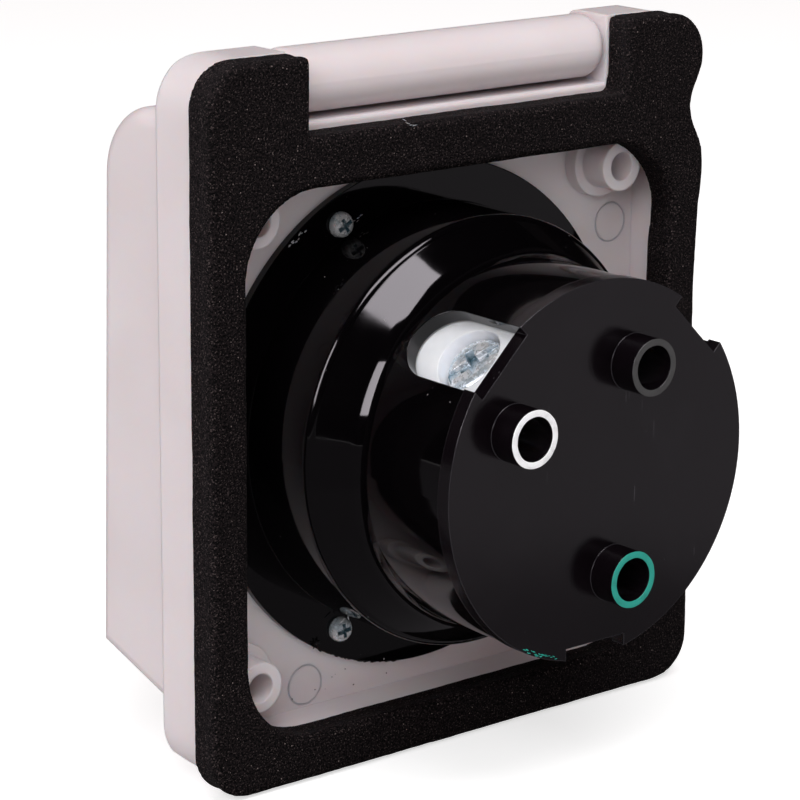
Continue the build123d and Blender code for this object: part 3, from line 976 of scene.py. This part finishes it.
@dataclass
class Housing:
    """White flange housing with the marks its mould left."""

    floor_y: float = -14.3
    mark_radius: float = 3.5
    mark_width: float = 0.36
    mark_height: float = 0.05
    mark_places: tuple[Pair, ...] = ((-44.3, 27.7), (24.3, -44.6), (44.3, 27.7), (-24.3, -44.6))

    def mark_tree(self) -> Tree:
        """Builds the tree that sets a thin raised ring on every point.

        Returns:
            The tree.
        """
        recipe = Recipe("mould_pin_mark", ("Radius", "Width", "Height"))
        graph, entry = recipe.open()
        band = flat_ring(graph, entry, 48, "Height")
        up = graph.add("GeometryNodeTransform", {"Geometry": band, "Rotation": (math.pi / 2, 0.0, 0.0)})
        return recipe.close(graph, entry, up)

    def build(self) -> None:
        """Dresses the housing and its pin, and adds the mould's marks."""
        dress("flange_housing", Coat.WHITE)
        dress("hinge_pin", Coat.STEEL)
        seats = [Seat((x, self.floor_y, z)) for x, z in self.mark_places]
        sizes = {"Radius": self.mark_radius, "Width": self.mark_width, "Height": self.mark_height}
        settle(grow("mould_pin_marks", self.mark_tree(), Coat.WHITE, seats, sizes), "inlet", "white_plastic")


@dataclass
class WeatherLid:
    """Hinged lid with its ring seal."""

    def build(self) -> None:
        """Dresses the lid and its seal."""
        dress("lid", Coat.WHITE)
        dress("lid_seal", Coat.SEAL)


@dataclass
class RoundBody:
    """Black body with its sealing ring and the three screws that hold it."""

    screw_circle: float = 39.7
    screw_angles: dict[str, float] = field(default_factory=lambda: {"top": 63.0, "bottom": -63.0, "side": 180.0})
    flange_rear: float = -12.8
    head_radius: float = 2.2
    head_height: float = 1.7
    turns: tuple[float, ...] = (0.5, 0.15, 1.1)

    def build(self, screws: ScrewSet) -> None:
        """Dresses the body and sets its screws.

        Args:
            screws: The set that makes every screw.
        """
        dress("inlet_body", Coat.BLACK)
        dress("body_seal", Coat.SEAL)
        sizes = {"Head radius": self.head_radius, "Head height": self.head_height, "Slot length": 2.9, "Slot width": 0.8,
                 "Slot depth": 0.7, "Cross length": 2.6, "Cross depth": 0.9, "Shank radius": 1.3, "Shank length": 6.4}
        for (where, angle), turn in zip(self.screw_angles.items(), self.turns):
            a = math.radians(angle)
            place = (self.screw_circle * math.cos(a), self.flange_rear, self.screw_circle * math.sin(a))
            piece = screws.make("pan_screw_" + where, Coat.ZINC, Seat(place, turn=turn), sizes)
            settle(piece, "inlet", "zinc", "body_screw_" + where)


@dataclass
class WireEnd:
    """End plate with the painted ends of its wire tubes."""

    rear: float = 37.3
    middle_radius: float = 4.2
    band: float = 1.1
    coat: float = 0.12
    wobble: float = 0.1
    tubes: dict[str, Pair] = field(default_factory=lambda: {
        "neutral": (18.4, 9.6), "hot": (-6.8, 17.2), "ground": (-3.4, -17.8)})
    paints: dict[str, Coat] = field(default_factory=lambda: {
        "neutral": Coat.RING_WHITE, "hot": Coat.RING_GREY, "ground": Coat.RING_GREEN})

    def ring_tree(self) -> Tree:
        """Builds the tree that lays a coat of paint on a tube's end.

        Returns:
            The tree.
        """
        recipe = Recipe("painted_tube_end", ("Radius", "Width", "Coat", "Wobble"))
        graph, entry = recipe.open()
        uneven = roughened(graph, flat_ring(graph, entry, 72, "Coat", 0.45), 900.0, 1.0, entry.outputs["Wobble"])
        up = graph.add("GeometryNodeTransform", {"Geometry": uneven, "Rotation": (math.pi / 2, 0.0, 0.0)})
        return recipe.close(graph, entry, up)

    def build(self) -> None:
        """Dresses the plate and paints the tube ends."""
        dress("end_plate", Coat.PLATE)
        tree = self.ring_tree()
        for name, (x, z) in self.tubes.items():
            sizes = {"Radius": self.middle_radius, "Width": self.band, "Coat": self.coat, "Wobble": self.wobble}
            ring = grow("painted_end_" + name, tree, self.paints[name], [Seat((x, self.rear, z))], sizes)
            settle(ring, "inlet", "plate_dark")


@dataclass
class Terminals:
    """Nylon block with blades, clamps and the terminal screws."""

    angles: dict[str, float] = field(default_factory=lambda: {"neutral": 45.0, "hot": 135.0, "ground": 270.0})
    seat: float = 24.2
    screw_y: float = 22.8
    shank: float = 11.6
    head_radius: float = 5.45
    turn: float = -0.63
    flatness: float = 0.3

    def build(self, screws: ScrewSet) -> None:
        """Dresses the block and its metal, and sets the terminal screws.

        Args:
            screws: The set that makes every screw.
        """
        dress("terminal_block", Coat.NYLON)
        sizes = {"Head radius": self.head_radius, "Head height": 3.0, "Slot length": 9.6, "Slot width": 2.0, "Slot depth": 0.95,
                 "Cross length": 5.4, "Cross depth": 1.7, "Shank radius": 2.1, "Shank length": self.shank}
        for name, angle in self.angles.items():
            dress(name + "_blade", Coat.BRASS)
            dress(name + "_clamp", Coat.BRASS)
            out = Vector((math.cos(math.radians(angle)), 0.0, math.sin(math.radians(angle))))
            seat = Seat(out * self.seat + Vector((0, self.screw_y, 0)), out, self.turn)
            coat, slot = (Coat.GREEN_ZINC, "green_screw") if name == "ground" else (Coat.ZINC, "zinc")
            piece = screws.make("terminal_screw_" + name, coat, seat, sizes, self.flatness)
            settle(piece, "inlet", slot, name + "_screw")


@dataclass
class Traces:
    """Small traces of work on the inlet: a paint smear, burrs, chips, crumbs and a fibre."""

    seed: int = 11
    roughness: float = 0.35
    plate_rear: float = 32.35
    body_flange_rear: float = -12.75
    body_flange_edge: float = 44.2
    recess_floor: float = -14.25

    def tree(self) -> Tree:
        """Builds the tree that sets a rough grain on every point.

        Returns:
            The tree.
        """
        recipe = Recipe("rough_grain", ("Roughness",))
        graph, entry = recipe.open()
        ball = graph.add("GeometryNodeMeshIcoSphere", {"Radius": 0.5, "Subdivisions": 3})
        rough = roughened(graph, ball, 2.6, 2.0, entry.outputs["Roughness"])
        size = graph.add("GeometryNodeInputNamedAttribute", {"Name": "size"}, data_type="FLOAT_VECTOR")
        return recipe.close(graph, entry, rough, Rotation=faced(graph), Scale=size.outputs["Attribute"])

    def along(self, dice: random.Random, y: float, reach: float, start: float, end: float, count: int,
              size: Spot, stray: float) -> list[Seat]:
        """Strews grains along an arc round the inlet's axis.

        Args:
            dice: The random numbers.
            y, reach: The arc's place and radius.
            start, end: Its angles in degrees.
            count: How many grains it gets.
            size: The largest grain.
            stray: How far a grain may lie off the arc.
        Returns:
            The grains.
        """
        grains = []
        for k in range(count):
            angle = math.radians(start + (end - start) * (k + dice.random()) / count)
            r = reach + dice.uniform(-stray, stray)
            scale = dice.uniform(0.45, 1.0)
            turn = -(angle + math.pi / 2) + dice.uniform(-0.3, 0.3)
            wide = size[1] * dice.uniform(0.4, 1.0)
            grains.append(Seat((r * math.cos(angle), y, r * math.sin(angle)), REARWARD, turn, (size[0] * scale, wide, size[2])))
        return grains

    def strewn(self, dice: random.Random, y: float, low: Pair, high: Pair, count: int, size: float) -> list[Seat]:
        """Strews grains over a field of a flat face.

        Args:
            dice: The random numbers.
            y: The face's height.
            low, high: The field's corners in X and Z.
            count: How many grains it gets.
            size: The largest grain.
        Returns:
            The grains.
        """
        grains = []
        for _ in range(count):
            s = size * dice.uniform(0.3, 1.0)
            place = (dice.uniform(low[0], high[0]), y, dice.uniform(low[1], high[1]))
            grains.append(Seat(place, REARWARD, dice.uniform(0, math.pi), (s, s * dice.uniform(0.4, 0.9), s * 0.4)))
        return grains

    def lay(self, name: str, grains: list[Seat], coat: Coat, slot: str, tree: Tree) -> None:
        """Makes one piece of the grains.

        Args:
            name: The piece's name.
            grains: Where they lie.
            coat: Their finish.
            slot: The name of its material slot.
            tree: The tree that makes a grain.
        """
        settle(grow(name, tree, coat, grains, {}, {"Roughness": self.roughness}), "inlet", slot)

    def build(self) -> None:
        """Lays every trace."""
        tree, dice = self.tree(), random.Random(self.seed)
        y, edge = self.body_flange_rear, self.body_flange_edge
        smear = self.along(dice, self.plate_rear, 31.2, -60.0, -74.0, 17, (0.9, 0.26, 0.1), 0.25)
        self.lay("paint_smear", smear, Coat.RING_GREEN, "plate_dark", tree)
        burrs = self.along(dice, y - 0.4, edge + 0.1, -60.0, -84.0, 30, (1.2, 0.35, 0.5), 0.12)
        burrs += [Seat((23.2, y + 0.1, -36.8), REARWARD, math.radians(turn), (2.2, 0.3, 0.3)) for turn in (10, 62, 115, 160)]
        self.lay("flange_burrs", burrs, Coat.BLACK, "black_gloss", tree)
        flakes = self.along(dice, y + 0.05, 43.6, 49.0, 54.5, 8, (0.9, 0.3, 0.12), 0.5)
        flakes += self.along(dice, y + 0.05, 38.6, 66.6, 69.6, 4, (0.7, 0.2, 0.1), 0.4)
        self.lay("white_flakes", flakes, Coat.WHITE, "white_plastic", tree)
        crumbs = self.strewn(dice, self.recess_floor, (4.0, -50.5), (40.0, -43.0), 16, 0.35)
        crumbs += self.strewn(dice, self.recess_floor, (-7.0, -52.5), (-1.0, -50.5), 3, 0.5)
        self.lay("black_crumbs", crumbs, Coat.BLACK, "black_gloss", tree)
        chip = [Seat((18.9, y + 2.0, -33.2), REARWARD, 0.6, (1.5, 0.3, 0.2)),
                Seat((17.6, y + 2.0, -33.0), REARWARD, 1.9, (0.8, 0.25, 0.15))]
        self.lay("metal_chip", chip, Coat.ZINC, "zinc", tree)
        fibre = [Seat((12.5 + 0.7 * k, -0.2, 53.2 + 0.12 * k * k), REARWARD, 0.1 - 0.2 * k, (1.0, 0.13, 0.13)) for k in range(4)]
        self.lay("white_fibre", fibre, Coat.WHITE, "foam", tree)


def flat(name: str, corners: tuple[Spot, ...], material: bpy.types.Material) -> Thing:
    """Puts one flat sheet into the studio.

    Args:
        name: The sheet's name.
        corners: Its corners in order, in metres.
        material: Its material.
    Returns:
        The sheet.
    """
    mesh = bpy.data.meshes.new(name)
    mesh.from_pydata([Vector(c) for c in corners], [], [tuple(range(len(corners)))])
    mesh.materials.append(material)
    sheet = linked(name, mesh)
    return sheet


@dataclass(frozen=True)
class Card:
    """A flat card of the studio, seen only in the inlet's gloss."""

    name: str
    corners: tuple[Spot, ...]
    glow: float = 0.0
    colour: Colour = (0.002, 0.002, 0.002, 1.0)
    glow_colour: Colour = (1.0, 0.93, 1.0, 1.0)

    def stand(self) -> None:
        """Stands the card in the studio."""
        on = Surface(self.name)
        on.set(Base_Color=self.colour, Specular_IOR_Level=0.0, Emission_Color=self.glow_colour, Emission_Strength=self.glow)
        card = flat(self.name, self.corners, on.material)
        card.visible_camera = card.visible_diffuse = card.visible_shadow = card.visible_transmission = False


@dataclass(frozen=True)
class Softbox:
    """A studio lamp with a square diffuser, which either lights the inlet or shows in its gloss."""

    name: str
    azimuth: float
    elevation: float
    width: float
    height: float
    lights: float = 0.0
    shows: float = 0.0
    distance: float = 1.0

    def hang(self) -> None:
        """Hangs the lamp's light or stands its bright face."""
        if self.lights:
            self.lamp()
        if self.shows:
            back = heading(self.azimuth, self.elevation)
            across = Vector((math.cos(math.radians(self.azimuth)), math.sin(math.radians(self.azimuth)), 0.0))
            tall = back.cross(across)
            corners = [back * self.distance + across * (i * self.width / 2) + tall * (k * self.height / 2) for i, k in SQUARE]
            Card(self.name.replace(" ", "_"), tuple(tuple(c) for c in corners), self.shows).stand()

    def lamp(self) -> None:
        """Adds an area lamp that points at the inlet and leaves its gloss alone."""
        lamp = bpy.data.lights.new(self.name, "AREA")
        lamp.shape, lamp.size, lamp.size_y = "RECTANGLE", self.width, self.height
        lamp.energy = self.lights * math.pi ** 2 * self.distance ** 2
        holder = linked(self.name, lamp)
        back = heading(self.azimuth, self.elevation)
        holder.location = back * self.distance
        holder.rotation_euler = back.to_track_quat("Z", "Y").to_euler()
        holder.visible_camera = holder.visible_glossy = False


@dataclass
class Studio:
    """Pale floor, white surround, softboxes and the cards that the gloss mirrors."""

    floor_z: float = -55.6
    floor_half: float = 3.0
    floor_glow: float = 0.6
    floor_colour: Colour = (0.8, 0.8, 0.8, 1.0)
    table_near: float = 0.15
    table_far: float = 1.4
    # The near disc's dim glow is a painted shadow of the inlet on the table, and lit_glow is painted light on the lit
    # sectors, both seen only in the gloss.
    near_glow: float = 0.14
    dim_glow: float = 0.12
    lit_glow: float = 0.34
    lit_sectors: tuple[int, ...] = (180, 210, 240)
    ambient: float = 0.21
    soft_colour: Colour = (1.0, 0.87, 0.86, 1.0)
    high: float = 1.15
    low: float = -0.2
    far: float = 1.5
    lamps: tuple[Softbox, ...] = (
        Softbox("key light", 125.0, 30.0, 1.28, 0.96, lights=0.55, distance=1.6),
        Softbox("top light", 165.0, 66.0, 1.28, 0.8, lights=0.57, distance=1.6),
        Softbox("side light", 82.0, 27.0, 1.28, 0.8, lights=0.08, distance=1.6),
        Softbox("side softbox", 84.0, 27.0, 0.6, 0.5, shows=11.0),
        Softbox("top softbox", 163.0, 64.0, 0.7, 0.4, shows=11.0),
    )

    def shown(self, graph: Graph) -> Socket:
        """Tells rays that show the surround from rays that only light the inlet.

        Args:
            graph: The nodes to add to.
        Returns:
            1 for camera, mirror and see-through rays, and 0 for the rest.
        """
        path = graph.add("ShaderNodeLightPath")
        seen = graph.calc("MAXIMUM", path.outputs["Is Camera Ray"], path.outputs["Is Glossy Ray"])
        return graph.calc("MAXIMUM", seen, path.outputs["Is Transmission Ray"])

    def surround(self) -> None:
        """Makes the world white to look at and soft to light with."""
        world = bpy.context.scene.world or bpy.data.worlds.new("surround")
        bpy.context.scene.world = world
        world.use_nodes = True
        graph = Graph(world.node_tree)
        backdrop = graph.tree.nodes["Background"]
        shown = self.shown(graph)
        graph.fill(backdrop, {"Color": graph.blend(shown, self.soft_colour, WHITE),
                              "Strength": graph.span(shown, 0.0, 1.0, self.ambient, 1.0)})

    @staticmethod
    def square(half: float, height: float) -> tuple[Spot, ...]:
        """Gives the corners of a level square over the middle.

        Args:
            half: Half its width in metres.
            height: Its height in metres.
        Returns:
            The four corners.
        """
        return tuple((i * half, k * half, height) for i, k in SQUARE)

    def floor(self) -> None:
        """Lays the pale floor, which keeps the inlet's shadow."""
        on = Surface("pale_floor")
        on.set(Base_Color=self.floor_colour, Roughness=0.9, Specular_IOR_Level=0.1, Emission_Color=WHITE,
               Emission_Strength=on.calc("MULTIPLY", self.shown(on), self.floor_glow))
        flat("pale_floor", self.square(self.floor_half, self.floor_z * MM), on.material)

    def cards(self) -> None:
        """Stands the dark room and the grey table that the photograph's gloss mirrors."""
        top, table = self.high, (self.floor_z + 0.1) * MM
        Card("dark_ceiling", self.square(2.0, top)).stand()
        for start in range(0, 360, 15):
            a, b = heading(start, 0) * self.far, heading(start + 15, 0) * self.far
            Card(f"dark_card_{start}", ((a.x, a.y, self.low), (b.x, b.y, self.low), (b.x, b.y, top), (a.x, a.y, top))).stand()
        near, far = self.table_near, self.table_far
        # Painted shadow and light for the gloss: the near disc under the inlet glows dim as its shadow on the table,
        # and the sectors in lit_sectors glow brighter as lit table.
        disc = [heading(turn, 0) * near for turn in range(0, 360, 15)]
        Card("near_table", tuple((p.x, p.y, table) for p in disc), self.near_glow).stand()
        for start in range(0, 360, 30):
            a, b = heading(start, 0), heading(start + 30, 0)
            corners = ((a.x * near, a.y * near), (b.x * near, b.y * near), (b.x * far, b.y * far), (a.x * far, a.y * far))
            bright = self.lit_glow if start in self.lit_sectors else self.dim_glow
            Card(f"far_table_{start}", tuple((x, y, table) for x, y in corners), bright).stand()

    def build(self) -> None:
        """Sets up the whole studio."""
        scene = bpy.context.scene
        scene.view_settings.view_transform = "Standard"
        self.surround()
        self.floor()
        self.cards()
        for lamp in self.lamps:
            lamp.hang()
        log.info("studio with %d lamps", len(self.lamps))


@dataclass(frozen=True)
class Viewpoint:
    """The photograph's camera, found from its perspective."""

    azimuth: float = 140.907
    elevation: float = 15.079
    roll: float = 0.404
    distance: float = 531.07
    slide: Pair = (-11.495, -10.932)
    aim: Spot = (0.6, 0.0, 16.43)
    focal_px: float = 3169.2
    frame_px: int = 800
    sensor_mm: float = 36.0

    def place(self) -> None:
        """Makes the camera and gives it to the scene."""
        back = heading(self.azimuth, self.elevation)
        a, r = math.radians(self.azimuth), math.radians(self.roll)
        level = Vector((math.cos(a), math.sin(a), 0.0))
        tall = back.cross(level)
        right = level * math.cos(r) + tall * math.sin(r)
        up = tall * math.cos(r) - level * math.sin(r)
        lens = bpy.data.cameras.new("view")
        lens.sensor_width = self.sensor_mm
        lens.lens = self.focal_px * self.sensor_mm / self.frame_px
        lens.clip_start, lens.clip_end = 0.01, 50.0
        camera = linked("view", lens)
        spot = Vector(self.aim) + right * self.slide[0] + up * self.slide[1] + back * self.distance
        turn = Matrix((right, up, back)).transposed().to_4x4()
        camera.matrix_world = Matrix.Translation(spot * MM) @ turn
        bpy.context.scene.camera = camera


def main() -> None:
    """Builds the inlet's looks piece by piece."""
    logging.basicConfig(level=logging.INFO, format="%(name)s: %(message)s")
    Viewpoint().place()
    Studio().build()
    screws = ScrewSet()
    WallGasket().build()
    Housing().build()
    WeatherLid().build()
    RoundBody().build(screws)
    WireEnd().build()
    Terminals().build(screws)
    Traces().build()


if __name__ == "__main__":
    main()
